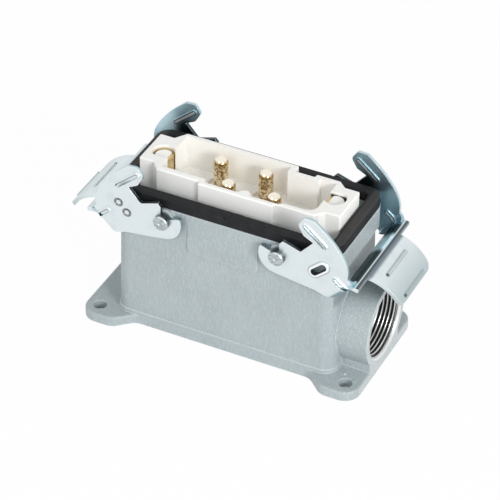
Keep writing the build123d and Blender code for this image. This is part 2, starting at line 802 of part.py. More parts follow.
# Screws that hold the insert down on the housing's columns
for depth_name, facing in front_and_back:
    for side_name, side in left_and_right:
        place = (side * screw_pitch_x / 2, facing * screw_pitch_y / 2)
        with BuildPart() as insert_screw:
            with BuildSketch(Plane.XY.offset(insert_plate_top)):
                with Locations(place):
                    Circle(fixing_head_r)
            extrude(amount=fixing_head_h)
            fillet(insert_screw.edges().group_by(Axis.Z)[-1], 0.6)
            with BuildSketch(Plane.XY.offset(insert_plate_top)):
                with Locations(place):
                    Circle(fixing_r)
            extrude(amount=-insert_plate_t - fixing_depth)
            with BuildSketch(Plane.XY.offset(insert_plate_top + fixing_head_h)):
                with Locations(place):
                    Rectangle(3 * fixing_head_r, slot_cut_w)
            extrude(amount=-slot_cut_depth, mode=Mode.SUBTRACT)
        save(insert_screw.part, f"insert_screw_{depth_name}_{side_name}")

# Earth contacts at both ends, and the screws that clamp the earth wire from below
for side_name, side in left_and_right:
    turned = Plane(Location((0, 0, 0), (0, 0, 90 * (1 + side))))
    with BuildPart() as earth_contact:
        with BuildSketch(turned.offset(insert_seat_z)):
            with Locations((-earth_blade_x, -earth_y)):
                Rectangle(
                    earth_foot_end - earth_blade_x, earth_blade_w, align=(Align.MAX, Align.CENTER)
                )
        extrude(amount=-earth_blade_t)
        with BuildSketch(turned.offset(insert_seat_z)):
            with Locations((-earth_blade_x, -earth_y)):
                Rectangle(earth_blade_t, earth_blade_w, align=(Align.MAX, Align.CENTER))
        extrude(amount=earth_blade_top - insert_seat_z)
        with BuildSketch(turned.offset(insert_seat_z)):
            with Locations((-earth_screw_x, -earth_y)):
                Circle(earth_screw_r + fit_clearance)
        extrude(amount=-earth_blade_t, mode=Mode.SUBTRACT)
    save(earth_contact.part, f"earth_contact_{side_name}")

    head_top = insert_seat_z - earth_blade_t
    with BuildPart() as earth_screw:
        with BuildSketch(turned.offset(head_top)):
            with Locations((-earth_screw_x, -earth_y)):
                Circle(earth_head_r)
        extrude(amount=-earth_head_h)
        with BuildSketch(turned.offset(head_top)):
            with Locations((-earth_screw_x, -earth_y)):
                Circle(earth_screw_r)
        extrude(amount=earth_blade_t + earth_screw_grip)
        with BuildSketch(turned.offset(head_top - earth_head_h)):
            with Locations((-earth_screw_x, -earth_y)):
                Rectangle(slot_cut_w, 3 * earth_head_r)
        extrude(amount=slot_cut_depth, mode=Mode.SUBTRACT)
    save(earth_screw.part, f"earth_screw_{side_name}")
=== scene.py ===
"""The looks of a heavy duty rectangular connector: cast surface-mount housing, cream
power insert, black rim gasket and two plated locking levers, on a white studio floor."""

import logging
import math
from dataclasses import dataclass
from enum import Enum
from typing import Any

import bpy
import numpy as np
from mathutils import Matrix, Vector


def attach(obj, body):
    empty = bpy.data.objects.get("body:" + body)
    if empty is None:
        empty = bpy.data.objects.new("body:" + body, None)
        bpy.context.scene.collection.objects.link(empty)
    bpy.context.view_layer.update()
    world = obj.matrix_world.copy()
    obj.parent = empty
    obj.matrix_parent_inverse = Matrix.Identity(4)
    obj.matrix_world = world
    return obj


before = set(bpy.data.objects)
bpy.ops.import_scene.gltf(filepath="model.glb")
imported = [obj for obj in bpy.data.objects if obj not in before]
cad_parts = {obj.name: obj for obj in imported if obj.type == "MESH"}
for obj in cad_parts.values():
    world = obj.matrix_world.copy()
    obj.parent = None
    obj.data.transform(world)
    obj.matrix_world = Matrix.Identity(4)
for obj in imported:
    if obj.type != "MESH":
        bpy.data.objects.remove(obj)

LOG = logging.getLogger("connector")
MM = 0.001
# The cosine of 45 degrees, the lean of the levers' webs at rest
SLANT = math.sqrt(0.5)
WHITE = (1.0, 1.0, 1.0, 1.0)
# The two colour inputs and the colour output of a Mix node
MIX_LOW, MIX_HIGH, MIX_RESULT = 6, 7, 2
# Samples of a Bevel node that finds edges and of one that rounds them
EDGE_SAMPLES, ROUND_SAMPLES = 6, 4

Colour = tuple[float, float, float]
Place = tuple[float, float]
Span = tuple[float, float]
Line = tuple[float, float, float, float]


class Side(Enum):
    """The two ends of the housing, by the sign of X."""

    LEFT = -1
    RIGHT = 1


# Shader building


class Amount:
    """A number that varies over a surface, held as the output socket that gives it."""

    def __init__(self, sheet: "NodeSheet", socket: Any) -> None:
        """Keep the socket and the sheet it belongs to.

        Args:
            sheet: the node sheet that new Math nodes go on.
            socket: the output socket that carries the number.
        """
        self.sheet = sheet
        self.socket = socket

    def _maths(self, operation: str, *terms: Any) -> "Amount":
        """Add one Math node.

        Args:
            operation: the Math node's operation.
            terms: numbers or amounts, in the node's order.

        Returns:
            The node's result.
        """
        node = self.sheet.add("ShaderNodeMath", {"operation": operation}, dict(enumerate(terms)))
        return self.sheet.amount(node, 0)

    def __add__(self, other: Any) -> "Amount":
        """Sum."""
        return self._maths("ADD", self, other)

    __radd__ = __add__

    def __sub__(self, other: Any) -> "Amount":
        """Difference."""
        return self._maths("SUBTRACT", self, other)

    def __rsub__(self, other: Any) -> "Amount":
        """Difference, with this amount taken away."""
        return self._maths("SUBTRACT", other, self)

    def __mul__(self, other: Any) -> "Amount":
        """Product."""
        return self._maths("MULTIPLY", self, other)

    __rmul__ = __mul__

    def __truediv__(self, other: Any) -> "Amount":
        """Quotient."""
        return self._maths("DIVIDE", self, other)

    def __pow__(self, other: Any) -> "Amount":
        """Power."""
        return self._maths("POWER", self, other)

    def __gt__(self, other: Any) -> "Amount":
        """One where this amount is the greater, zero elsewhere."""
        return self._maths("GREATER_THAN", self, other)

    def __lt__(self, other: Any) -> "Amount":
        """One where this amount is the smaller, zero elsewhere."""
        return self._maths("LESS_THAN", self, other)

    def larger(self, other: Any) -> "Amount":
        """The larger of two amounts."""
        return self._maths("MAXIMUM", self, other)

    def smaller(self, other: Any) -> "Amount":
        """The smaller of two amounts."""
        return self._maths("MINIMUM", self, other)

    def size(self) -> "Amount":
        """The amount without its sign."""
        return self._maths("ABSOLUTE", self)

    def sign(self) -> "Amount":
        """One where the amount is above zero, minus one where it is below."""
        return self._maths("SIGN", self)

    def hypot(self, other: "Amount") -> "Amount":
        """The square root of the sum of both squares."""
        return (self * self + other * other) ** 0.5

    def blend(self, other: "Amount", share: float) -> "Amount":
        """This amount, with the other in place of a share of it."""
        return self * (1 - share) + other * share

    def fade(self, low: float, high: float) -> "Amount":
        """One at low, zero at high, smooth between."""
        return 1 - self.ramp(low, high)

    def band(self, rise: Span, fall: Span) -> "Amount":
        """Up from zero to one over the first span, and down again over the second."""
        return self.ramp(*rise) * self.fade(*fall)

    def ramp(self, low: float, high: float) -> "Amount":
        """A smooth step.

        Args:
            low: where the step starts.
            high: where the step ends.

        Returns:
            Zero at low, one at high, smooth between.
        """
        settings = {"interpolation_type": "SMOOTHSTEP"}
        node = self.sheet.add("ShaderNodeMapRange", settings, {0: self, 1: low, 2: high})
        return self.sheet.amount(node, 0)


@dataclass(frozen=True)
class Grain:
    """A cloudy noise: the width of one blot in metres, how many finer layers it has, and
    the factor on the pattern along X, Y and Z."""

    size: float
    detail: float = 3.0
    stretch: tuple[float, float, float] = (1.0, 1.0, 1.0)


class NodeSheet:
    """A node tree, with one method that adds every kind of node."""

    def __init__(self, tree: Any) -> None:
        """Start from an empty tree.

        Args:
            tree: the node tree of a material or a world.
        """
        self.tree = tree
        tree.nodes.clear()

    def add(
        self, kind: str, settings: dict[str, Any] | None = None, sockets: dict[Any, Any] | None = None
    ) -> Any:
        """Add one node, with its settings first and its sockets after them.

        Args:
            kind: the node's type.
            settings: attributes of the node.
            sockets: an input's name or index, to a value, a socket or an amount.

        Returns:
            The node.
        """
        node = self.tree.nodes.new(kind)
        for name, value in (settings or {}).items():
            setattr(node, name, value)
        for name, value in (sockets or {}).items():
            if isinstance(value, Amount):
                self.tree.links.new(value.socket, node.inputs[name])
            elif isinstance(value, bpy.types.NodeSocket):
                self.tree.links.new(value, node.inputs[name])
            else:
                node.inputs[name].default_value = value
        return node

    def amount(self, node: Any, output: Any) -> Amount:
        """An output of a node as an amount that sums and products can use."""
        return Amount(self, node.outputs[output])

    def place(self) -> Any:
        """The Object coordinates of the point, as a socket."""
        return self.add("ShaderNodeTexCoord").outputs["Object"]

    def spot(self) -> tuple[Amount, Amount, Amount]:
        """The Object coordinates of the point, as three amounts."""
        parts = self.add("ShaderNodeSeparateXYZ", {}, {0: self.place()})
        return self.amount(parts, 0), self.amount(parts, 1), self.amount(parts, 2)

    def noise(self, grain: Grain) -> Amount:
        """Cloudy noise on Object coordinates.

        Args:
            grain: the noise's size, detail and stretch.

        Returns:
            A level around one half.
        """
        mapped = self.add("ShaderNodeMapping", {}, {"Vector": self.place(), "Scale": grain.stretch})
        sockets = {"Vector": mapped.outputs[0], "Scale": 1.0 / grain.size, "Detail": grain.detail}
        return self.amount(self.add("ShaderNodeTexNoise", {}, sockets), 0)

    def edges(self, radius: float) -> Amount:
        """How near the point is to an edge or an inner corner.

        One minus the dot product of the normal and a normal rounded over the radius.

        Args:
            radius: how far from the edge it reaches, in metres.

        Returns:
            Zero away from edges, about 0.3 on a square one.
        """
        rounded = self.add("ShaderNodeBevel", {"samples": EDGE_SAMPLES}, {"Radius": radius}).outputs[0]
        plain = self.add("ShaderNodeNewGeometry").outputs["Normal"]
        product = self.add("ShaderNodeVectorMath", {"operation": "DOT_PRODUCT"}, {0: rounded, 1: plain})
        return 1 - self.amount(product, "Value")

    def mix(self, low: Any, high: Any, share: Any) -> Any:
        """Mix two colours.

        Args:
            low: colour, or socket, at share zero.
            high: colour, or socket, at share one.
            share: the mixing share.

        Returns:
            The mixed colour's socket.
        """
        sockets = {0: share, MIX_LOW: self._four(low), MIX_HIGH: self._four(high)}
        return self.add("ShaderNodeMix", {"data_type": "RGBA"}, sockets).outputs[MIX_RESULT]

    @staticmethod
    def _four(colour: Any) -> Any:
        """A colour with its alpha, or a socket as it is."""
        return (*colour, 1.0) if isinstance(colour, tuple) else colour

    def seen(self) -> Amount:
        """Which rays show a background white, rather than light the object with it.

        Returns:
            One for camera, glossy and transmission rays, zero for the rest.
        """
        ray = self.add("ShaderNodeLightPath")
        kinds = [self.amount(ray, f"Is {kind} Ray") for kind in ("Camera", "Glossy", "Transmission")]
        return kinds[0].larger(kinds[1]).larger(kinds[2])

    def relief(self, height: Amount, depth: float, edge: float) -> Any:
        """A bump on top of softly rounded edges.

        Args:
            height: the bump's height, zero to one.
            depth: metres from the bump's foot to its top.
            edge: radius of the rounding seen on edges, in metres.

        Returns:
            The normal's socket.
        """
        rounded = self.add("ShaderNodeBevel", {"samples": ROUND_SAMPLES}, {"Radius": edge})
        sockets = {"Height": height, "Distance": depth, "Strength": 1.0, "Normal": rounded.outputs[0]}
        return self.add("ShaderNodeBump", {}, sockets).outputs[0]

    def surface(self, sockets: dict[Any, Any]) -> None:
        """End the tree in a Principled surface with these sockets."""
        shader = self.add("ShaderNodeBsdfPrincipled", {}, sockets)
        self.add("ShaderNodeOutputMaterial", {}, {"Surface": shader.outputs[0]})


def finish_material(name: str) -> tuple[Any, NodeSheet]:
    """A new material and its empty node sheet.

    Args:
        name: the finish's name.

    Returns:
        The material and its sheet.
    """
    material = bpy.data.materials.new(name)
    material.use_nodes = True
    return material, NodeSheet(material.node_tree)


# Finishes


@dataclass(frozen=True)
class CastCoat:
    """Light blue-grey coat on a die casting, with a fine orange peel. The machined
    cable entry shows bare metal. The far right end faces are painted paler as painted light
    from the right, the end wall carries pale painted highlight specks, the corner above the
    entry is painted darker as painted shadow of the lever, and edges and inner corners carry
    a pale painted highlight."""

    colour: Colour = (0.350, 0.398, 0.412)
    pale: Colour = (0.378, 0.428, 0.442)
    # Painted highlight: the pale colour laid on edges, inner corners and the end wall's specks.
    painted_highlight: Colour = (0.62, 0.68, 0.70)
    speck: Colour = (0.46, 0.52, 0.54)
    bare: Colour = (0.78, 0.80, 0.79)
    # Painted light: the paler colour of the faces at the far right end, lit from the right.
    lit_end_tone: Colour = (0.50, 0.535, 0.54)
    # Painted shadow: the darker colour of the corner above the cable entry, under the lever.
    corner_shadow: Colour = (0.20, 0.235, 0.245)
    cloud: Grain = Grain(18.0 * MM, 4.0)
    peel: Grain = Grain(0.9 * MM, 2.0, (1.0, 1.0, 0.4))
    grit: Grain = Grain(0.36 * MM, 1.0, (1.0, 1.0, 0.6))
    pale_span: Span = (0.3, 0.7)
    speck_grit: float = 0.6
    speck_span: Span = (0.48, 0.66)
    speck_share: float = 0.7
    highlight_reach: float = 0.7 * MM
    highlight_span: Span = (0.01, 0.10)
    highlight_share: float = 0.9
    end_x: Span = (44.5 * MM, 44.8 * MM)
    end_speck_span: Span = (0.56, 0.72)
    end_speck_share: float = 0.35
    corner_foot: Span = (33.2 * MM, 36.2 * MM)
    corner_top: Span = (42.0 * MM, 49.0 * MM)
    corner_shadow_share: float = 0.8
    lit_end_x: float = 58.4 * MM
    lit_end_share: float = 0.85
    entry_x: float = 42.8 * MM
    entry_z: float = 19.3 * MM
    entry_r: float = 15.15 * MM
    bare_metal: float = 0.95
    roughness: float = 0.38
    peel_rough: float = 0.12
    bare_gloss: float = 0.14
    relief_grit: float = 0.25
    relief_depth: float = 0.40 * MM
    edge: float = 0.5 * MM

    def make(self) -> Any:
        """Build the coat.

        Returns:
            The material.
        """
        material, sheet = finish_material("cast_coat")
        x, y, z = sheet.spot()
        bare = (y.hypot(z - self.entry_z) < self.entry_r) * (x > self.entry_x)
        peel, grit = sheet.noise(self.peel), sheet.noise(self.grit)
        coat = sheet.mix(self.colour, self.pale, sheet.noise(self.cloud).ramp(*self.pale_span))
        specks = peel.blend(grit, self.speck_grit).ramp(*self.speck_span)
        coat = sheet.mix(coat, self.speck, specks * self.speck_share)
        end = x.ramp(*self.end_x)
        # Painted highlight: pale specks on the end wall and boss stand for the peel's glints in the
        # light from the right.
        coat = sheet.mix(coat, self.painted_highlight, grit.ramp(*self.end_speck_span) * end * self.end_speck_share)
        # Painted shadow of the lever over the corner above the cable entry.
        corner = end * z.band(self.corner_foot, self.corner_top)
        coat = sheet.mix(coat, self.corner_shadow, corner * self.corner_shadow_share)
        # Painted light: the faces past 58.4 mm are painted paler.
        coat = sheet.mix(coat, self.lit_end_tone, (x > self.lit_end_x) * self.lit_end_share)
        # Painted highlight along edges and inner corners.
        painted_light = sheet.edges(self.highlight_reach).ramp(*self.highlight_span)
        coat = sheet.mix(coat, self.painted_highlight, painted_light * self.highlight_share)
        height = peel.blend(grit, self.relief_grit) * (1 - bare)
        sheet.surface({
            "Base Color": sheet.mix(coat, self.bare, bare),
            "Metallic": bare * self.bare_metal,
            "Roughness": self.roughness + self.peel_rough * peel - self.bare_gloss * bare,
            "Specular IOR Level": 0.5,
            "Normal": sheet.relief(height, self.relief_depth, self.edge),
        })
        return material


@dataclass(frozen=True)
class PlatedSteel:
    """Bright zinc plating, pale blue, with faint blotches and a rolled grain. Its near-white
    colour is the painted highlight that the levers and studs lay on edges, rims and darts."""

    name: str = "plated_steel"
    colour: Colour = (0.745, 0.808, 0.828)
    dull: Colour = (0.69, 0.76, 0.78)
    # Painted highlight: the near-white of edges, rims and dart cores.
    bright: Colour = (0.96, 0.98, 1.0)
    blotch: Grain = Grain(6.0 * MM, 4.0)
    rolled: Grain = Grain(1.2 * MM, 3.0, (1.0, 1.0, 0.25))
    fine: Grain = Grain(0.4 * MM, 2.0)
    dull_span: Span = (0.42, 0.75)
    roughness: float = 0.30
    blotch_rough: float = 0.10
    rolled_rough: float = 0.05
    relief_fine: float = 0.4
    relief_depth: float = 0.012 * MM
    edge: float = 0.18 * MM

    def make(self) -> Any:
        """Build the plating.

        Returns:
            The material.
        """
        material, sheet = finish_material(self.name)
        self.end(sheet, self.body(sheet))
        return material

    def body(self, sheet: NodeSheet) -> Any:
        """The colour of clean plating, as a socket."""
        return sheet.mix(self.colour, self.dull, sheet.noise(self.blotch).ramp(*self.dull_span))

    def end(self, sheet: NodeSheet, colour: Any) -> None:
        """Finish a plating's tree.

        Args:
            sheet: the material's sheet.
            colour: the plating's colour, as a socket.
        """
        blotch, rolled = sheet.noise(self.blotch), sheet.noise(self.rolled)
        height = rolled.blend(sheet.noise(self.fine), self.relief_fine)
        sheet.surface({
            "Base Color": colour,
            "Metallic": 1.0,
            "Roughness": self.roughness + self.blotch_rough * blotch + self.rolled_rough * rolled,
            "Normal": sheet.relief(height, self.relief_depth, self.edge),
        })


@dataclass(frozen=True)
class StudPlating(PlatedSteel):
    """Plating of a turned stud with a streaked face, painted darker than the levers' plating as
    painted reflection of its dark surroundings, with painted shade on its sides and a painted
    highlight on its rim.
    """

    name: str = "stud_plating"
    # Face colours, painted darker as painted reflection of the stud's dark surroundings.
    colour: Colour = (0.56, 0.61, 0.62)
    dull: Colour = (0.34, 0.38, 0.39)
    # Painted shade on the stud's sides.
    side_shade: Colour = (0.16, 0.18, 0.19)
    streak: Grain = Grain(1.1 * MM, 3.0, (0.6, 1.0, 1.8))
    streak_span: Span = (0.38, 0.66)
    face_y: Span = (25.6 * MM, 26.2 * MM)
    rim_reach: float = 0.3 * MM
    rim_span: Span = (0.04, 0.2)
    rim_share: float = 0.7

    def body(self, sheet: NodeSheet) -> Any:
        """The colour of the stud: pale at its face, painted shade on its side, painted highlight at its
        rim.

        Args:
            sheet: the material's sheet.

        Returns:
            The colour's socket.
        """
        across = sheet.spot()[1].size()
        face = sheet.mix(self.colour, self.dull, sheet.noise(self.streak).ramp(*self.streak_span))
        colour = sheet.mix(self.side_shade, face, across.ramp(*self.face_y))
        # Painted highlight on the rim.
        rim = sheet.edges(self.rim_reach).ramp(*self.rim_span)
        return sheet.mix(colour, self.bright, rim * self.rim_share)


@dataclass(frozen=True)
class LeverSpot:
    """Where a point of a lever lies, in metres: out and rise are outward and up from the
    pivot, beyond is square to the web and level along it, and across is towards the
    dimpled arm. Outer is one on the outer faces of the arms and zero inside the fold."""

    out: Amount
    rise: Amount
    beyond: Amount
    level: Amount
    across: Amount
    outer: Amount


@dataclass(frozen=True)
class LeverPlating(PlatedSteel):
    """The plating of one lever. The faces inside the fold are painted a deep blue-green as
    painted shade and reflection, with pale patches and glints of painted reflection, and
    darkest as painted shade in the throat between hook and finger and along the web. The
    pressed darts, dimples, ribs and slot carry painted shade and painted highlights, the bend
    of the lip carries painted shade, the flap is painted darker towards its end as painted
    reflection, and the edges carry a painted highlight. Places and lines are given outward
    and up from the lever's pivot, in metres."""

    side: Side = Side.RIGHT
    pivot: Place = (23.9 * MM, 55.2 * MM)
    arm_middle: float = 23.75 * MM
    arm_soft: float = 0.4 * MM
    web_face: float = 25.1 * MM
    corner_start: float = 21.2 * MM
    # Painted shade and reflection inside the fold: deep for the shaded faces, light for reflections.
    deep: Colour = (0.36, 0.53, 0.60)
    light: Colour = (0.67, 0.85, 0.91)
    cloud: Grain = Grain(9.0 * MM)
    cloud_span: Span = (0.52, 0.80)
    cloud_share: float = 0.5
    shine: float = 0.2
    shine_place: Place = (0.0235, 0.0095)
    shine_span: Span = (0.0035, 0.0095)
    # Painted shade along the web.
    web_tone: Colour = (0.042, 0.066, 0.073)
    web_start: Span = (0.0226, 0.0234)
    web_end: Span = (0.0193, 0.0213)
    glint_rise: Span = (0.0005, 0.0040)
    glint_fall: Span = (0.0110, 0.0150)
    # Painted shade in the throat between hook and finger.
    throat_tone: Colour = (0.018, 0.030, 0.036)
    throat: Line = (0.0010, 0.0065, 0.0138, 0.0085)
    throat_span: Span = (0.0022, 0.0065)
    throat_share: float = 0.92
    sheet_face: Span = (0.0242, 0.02445)
    # Painted shade on the bend of the lip.
    lip_tone: Colour = (0.20, 0.25, 0.28)
    lip_shade: float = 1.0
    lip_foot: Span = (0.0178, 0.0181)
    lip_end: Span = (0.0234, 0.0236)
    lip_rise: Span = (0.0, 0.0004)
    lip_dark_fall: Span = (0.0007, 0.0012)
    lip_grey_fall: Span = (0.0016, 0.0030)
    # Painted reflection: the flap grows darker towards its end.
    painted_light: Colour = (0.44, 0.53, 0.545)
    flap_shade_share: float = 0.75
    flap_span: Span = (0.028, 0.043)
    edge_reach: float = 0.3 * MM
    edge_span: Span = (0.06, 0.22)
    edge_share: float = 0.8
    # Painted shade in the dimples' rings and beside the slot's rim.
    recess_shade: Colour = (0.20, 0.205, 0.19)
    # Painted shade lines at the lip's bend, the darts' flanks, the ribs' feet and pits and the slot's
    # wall.
    line: Colour = (0.10, 0.12, 0.13)
    inner_end: Span = (0.0222, 0.0232)
    darts: tuple[Line, ...] = ((0.0108, 0.0172, 0.0186, 0.0106), (0.0233, -0.0028, 0.0276, -0.0066))
    dart_core: Span = (0.0003, 0.0006)
    dart_foot: Span = (0.0008, 0.0012)
    dart_lean: Span = (-0.0001, 0.0003)
    dart_inner_share: float = 0.7
    dart_outer_share: float = 0.8
    dimples: tuple[Place, ...] = ((0.0185, 0.0029), (0.0150, -0.0008))
    dimple_r: float = 1.4 * MM
    dimple_span: Span = (0.0003, 0.0007)
    dimple_share: float = 0.8
    # Painted shade at the ribs' feet and in the pits at their ends.
    ribs: tuple[Place, ...] = ((0.0377, -0.0063), (0.0452, -0.0132))
    rib_half_l: float = 8.5 * MM
    rib_soft: float = 0.4 * MM
    rib_rise: Span = (0.0004, 0.0006)
    rib_fall: Span = (0.0009, 0.0012)
    rib_share: float = 0.22
    pit_span: Span = (0.0005, 0.0010)
    pit_share: float = 0.8
    slot: Line = (0.0152, -0.0016, 0.0186, 0.0014)
    slot_r: float = 1.35 * MM
    slot_shade_at: float = 1.2 * MM
    slot_shade_span: Span = (0.0001, 0.0005)
    slot_shade_share: float = 0.45
    rim_at: float = 0.5 * MM
    rim_span: Span = (0.0003, 0.0006)
    wall_span: Span = (0.00005, 0.0002)

    def make(self) -> Any:
        """Build the lever's plating.

        Returns:
            The material.
        """
        material, sheet = finish_material(f"lever_plating_{self.side.name.lower()}")
        spot = self._spot(sheet)
        colour = self._inner_faces(sheet, self.body(sheet), spot)
        colour = self._lip_bend(sheet, colour, spot)
        # Painted reflection: the flap is painted darker towards its end.
        colour = sheet.mix(colour, self.painted_light, spot.beyond.ramp(*self.flap_span) * self.flap_shade_share)
        fold = (spot.beyond > self.corner_start) * (spot.beyond < self.web_face)
        fold = fold * (spot.across.size() < self.arm_middle)
        # Painted highlight along the edges, away from the fold.
        painted_highlight = sheet.edges(self.edge_reach).ramp(*self.edge_span) * (1 - fold)
        colour = sheet.mix(colour, self.bright, painted_highlight * self.edge_share)
        self.end(sheet, self._pressed_marks(sheet, colour, spot))
        return material

    def _spot(self, sheet: NodeSheet) -> LeverSpot:
        """Where the point lies on the lever.

        Args:
            sheet: the material's sheet.

        Returns:
            The point's places, from its Object coordinates.
        """
        x, y, z = sheet.spot()
        out, rise, across = x * self.side.value - self.pivot[0], z - self.pivot[1], y * self.side.value
        outer = across.size().ramp(self.arm_middle - self.arm_soft, self.arm_middle + self.arm_soft)
        return LeverSpot(out, rise, (out - rise) * SLANT, (out + rise) * SLANT, across, outer)

    def _inner_faces(self, sheet: NodeSheet, clean: Any, spot: LeverSpot) -> Any:
        """Paint shade and reflections on the faces inside the fold.

        Args:
            sheet: the material's sheet.
            clean: colour of the clean plating.
            spot: where the point lies on the lever.

        Returns:
            The colour's socket.
        """
        aside = spot.across.size()
        inside = (1 - spot.outer) * spot.beyond.fade(self.web_face - self.arm_soft, self.web_face)
        # Painted reflection in patches and near the shine place, painted shade with a painted glint
        # along the web, painted shade in the throat.
        patches = sheet.noise(self.cloud).ramp(*self.cloud_span)
        tone = sheet.mix(self.deep, self.light, patches * self.cloud_share)
        near = self._reach(spot, self.shine_place).fade(*self.shine_span)
        tone = sheet.mix(tone, self.light, near * self.shine)
        web = spot.beyond.ramp(*self.web_start) * aside.fade(*self.web_end)
        glint = spot.across.band(self.glint_rise, self.glint_fall)
        tone = sheet.mix(tone, sheet.mix(self.web_tone, self.light, glint), web)
        tone = sheet.mix(clean, tone, inside)
        throat = self._reach(spot, self.throat).fade(*self.throat_span) * aside.fade(*self.sheet_face)
        return sheet.mix(tone, self.throat_tone, throat * self.throat_share)

    def _lip_bend(self, sheet: NodeSheet, colour: Any, spot: LeverSpot) -> Any:
        """Paint shade on the bend of the lip in two bands: a dark one, then a grey one.

        Args:
            sheet: the material's sheet.
            colour: the colour so far.
            spot: where the point lies on the lever.

        Returns:
            The colour's socket.
        """
        # Painted shade in a dark band and a grey band past the web's face.
        top = spot.level.ramp(*self.lip_foot) * spot.across.size().fade(*self.lip_end) * self.lip_shade
        past = spot.beyond - self.web_face
        colour = sheet.mix(colour, self.lip_tone, top * past.band(self.lip_rise, self.lip_grey_fall))
        return sheet.mix(colour, self.line, top * past.band(self.lip_rise, self.lip_dark_fall))

    def _pressed_marks(self, sheet: NodeSheet, colour: Any, spot: LeverSpot) -> Any:
        """Painted shade and painted highlights at the pressed darts and dimples, along the flap's ribs
        and round the slot.

        Args:
            sheet: the material's sheet.
            colour: the colour so far.
            spot: where the point lies on the lever.

        Returns:
            The colour's socket.
        """
        inner = (1 - spot.outer) * spot.beyond.fade(*self.inner_end)
        dimpled, slotted = spot.across > 0.0, spot.across < 0.0
        for dart in self.darts:
            reach = self._reach(spot, dart)
            flank = reach.band(self.dart_core, self.dart_foot)
            shaded = spot.outer * self._lean(spot, dart).ramp(*self.dart_lean)
            # Painted highlight in each dart's core and painted shade on its flanks.
            colour = sheet.mix(colour, self.bright, reach.fade(*self.dart_core) * inner)
            colour = sheet.mix(colour, self.line, flank * inner * self.dart_inner_share)
            colour = sheet.mix(colour, self.line, flank * shaded * self.dart_outer_share)
        for place in self.dimples:
            # Painted shade in a ring round each dimple.
            ring = (self._reach(spot, place) - self.dimple_r).size().fade(*self.dimple_span)
            colour = sheet.mix(colour, self.recess_shade, ring * dimpled * self.dimple_share)
        length = spot.across.size().fade(self.rib_half_l, self.rib_half_l + self.rib_soft)
        for rib in self.ribs:
            reach = self._reach(spot, rib)
            foot = reach.band(self.rib_rise, self.rib_fall) * length
            pit = reach.hypot(spot.across + self.rib_half_l).fade(*self.pit_span)
            # Painted shade at the rib's foot and in the pit at its end.
            colour = sheet.mix(colour, self.line, foot * self.rib_share)
            colour = sheet.mix(colour, self.line, pit * self.pit_share)
        past, face = self._reach(spot, self.slot) - self.slot_r, slotted * spot.outer
        # Painted shade beside the slot's rim, a painted highlight on the rim and painted shade on the
        # slot's wall.
        slot_shade = (past - self.slot_shade_at).size().fade(*self.slot_shade_span) * face
        colour = sheet.mix(colour, self.recess_shade, slot_shade * self.slot_shade_share)
        rim = (past - self.rim_at).size().fade(*self.rim_span) * face
        colour = sheet.mix(colour, self.bright, rim)
        return sheet.mix(colour, self.line, past.fade(*self.wall_span) * slotted)

    @staticmethod
    def _reach(spot: LeverSpot, line: Line | Place) -> Amount:
        """How far the point is from a straight line, or from one place.

        Args:
            spot: where the point lies on the lever.
            line: the line's start and end, or the place.

        Returns:
            The distance in metres.
        """
        start, end = line[:2], line[-2:]
        run, climb = end[0] - start[0], end[1] - start[1]
        off_out, off_rise = spot.out - start[0], spot.rise - start[1]
        square = run * run + climb * climb
        if square > 0:
            share = ((off_out * run + off_rise * climb) / square).larger(0.0).smaller(1.0)
            off_out, off_rise = off_out - share * run, off_rise - share * climb
        return off_out.hypot(off_rise)

    @staticmethod
    def _lean(spot: LeverSpot, line: Line) -> Amount:
        """How far the point lies to the upper, outer side of a line.

        Args:
            spot: where the point lies on the lever.
            line: the line's start and end.

        Returns:
            The signed distance in metres.
        """
        run, climb = line[2] - line[0], line[3] - line[1]
        length = math.hypot(run, climb)
        return (spot.rise - line[1]) * (run / length) - (spot.out - line[0]) * (climb / length)


@dataclass(frozen=True)
class GasketRubber:
    """Near-black moulded rubber with a dusty skin, greyer on top of its ends."""

    colour: Colour = (0.006, 0.007, 0.008)
    dusty: Colour = (0.014, 0.015, 0.016)
    top_tone: Colour = (0.050, 0.046, 0.045)
    dust: Grain = Grain(3.5 * MM, 5.0)
    pores: Grain = Grain(0.5 * MM, 2.0)
    dusty_span: Span = (0.35, 0.75)
    top_z: Span = (63.0 * MM, 63.4 * MM)
    end_x: Span = (43.0 * MM, 44.0 * MM)
    top_share: float = 0.5
    roughness: float = 0.50
    dust_rough: float = 0.2
    pore_depth: float = 0.03 * MM
    edge: float = 0.3 * MM

    def make(self) -> Any:
        """Build the rubber.

        Returns:
            The material.
        """
        material, sheet = finish_material("gasket_rubber_skin")
        dust = sheet.noise(self.dust)
        colour = sheet.mix(self.colour, self.dusty, dust.ramp(*self.dusty_span))
        x, _, z = sheet.spot()
        top = z.ramp(*self.top_z) * x.size().ramp(*self.end_x)
        top = top * (self.top_share + (1 - self.top_share) * dust)
        sheet.surface({
            "Base Color": sheet.mix(colour, self.top_tone, top),
            "Roughness": self.roughness + self.dust_rough * dust,
            "Specular IOR Level": 0.25,
            "Normal": sheet.relief(sheet.noise(self.pores), self.pore_depth, self.edge),
        })
        return material


